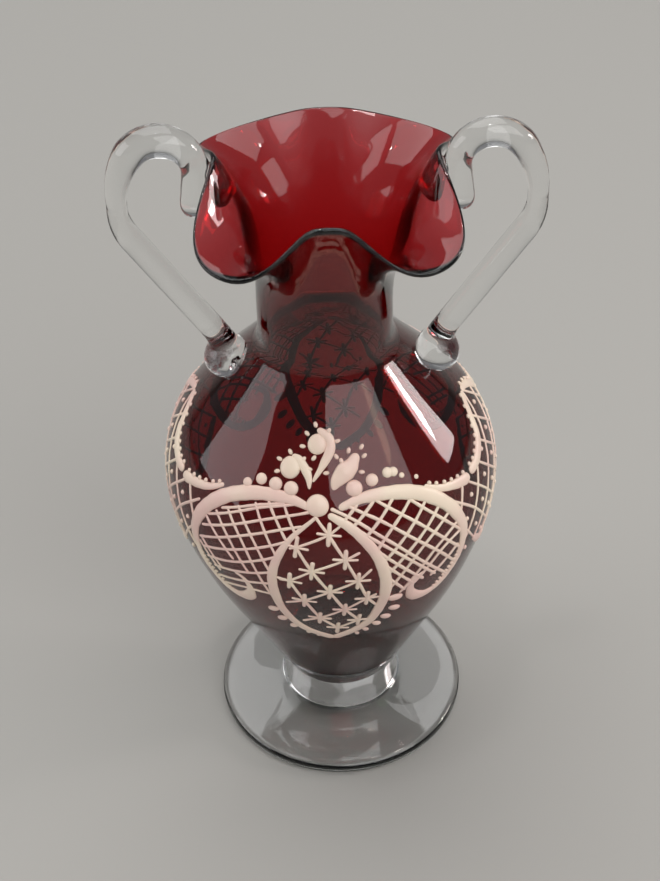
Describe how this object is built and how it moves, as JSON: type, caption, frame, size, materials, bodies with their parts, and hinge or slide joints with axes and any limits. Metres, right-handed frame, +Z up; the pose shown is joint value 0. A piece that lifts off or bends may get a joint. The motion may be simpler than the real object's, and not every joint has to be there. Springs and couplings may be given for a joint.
{
  "type": "two-handled glass vase",
  "caption": "Small footed ruby-glass vase with a ruffled lip, looped clear-glass handles and raised cream enamel.",
  "frame": {"origin": "middle of the foot's resting face", "axes": "+Z up along the axis of the vase, handles at +X and -X, painted front at -Y"},
  "size_m": [0.0844, 0.0704, 0.1589],
  "materials": {
    "ruby_glass": "polished transparent deep red glass",
    "clear_glass": "polished colourless glass",
    "cream_enamel": "raised satin enamel, fired on"
  },
  "bodies": {
    "root": {"ruby_body": "ruby_glass", "stem_collar": "clear_glass", "foot": "clear_glass", "left_handle": "clear_glass", "right_handle": "clear_glass", "left_shoulder_pad": "clear_glass", "right_shoulder_pad": "clear_glass", "left_rim_pad": "clear_glass", "right_rim_pad": "clear_glass", "front_boss": "cream_enamel", "front_medallion": "cream_enamel", "front_star_lattice": "cream_enamel", "front_left_wing_border": "cream_enamel", "front_right_wing_border": "cream_enamel", "front_left_wing_net": "cream_enamel", "front_right_wing_net": "cream_enamel", "front_bead_row": "cream_enamel", "front_leaf_spray": "cream_enamel", "front_leaf_dots": "cream_enamel", "front_lower_petals": "cream_enamel", "back_boss": "cream_enamel", "back_medallion": "cream_enamel", "back_star_lattice": "cream_enamel", "back_left_wing_border": "cream_enamel", "back_right_wing_border": "cream_enamel", "back_left_wing_net": "cream_enamel", "back_right_wing_net": "cream_enamel", "back_bead_row": "cream_enamel", "back_leaf_spray": "cream_enamel", "back_leaf_dots": "cream_enamel", "back_lower_petals": "cream_enamel", "left_panel_border": "cream_enamel", "left_panel_net": "cream_enamel", "left_panel_dots": "cream_enamel", "right_panel_border": "cream_enamel", "right_panel_net": "cream_enamel", "right_panel_dots": "cream_enamel"}
  },
  "joints": []
}
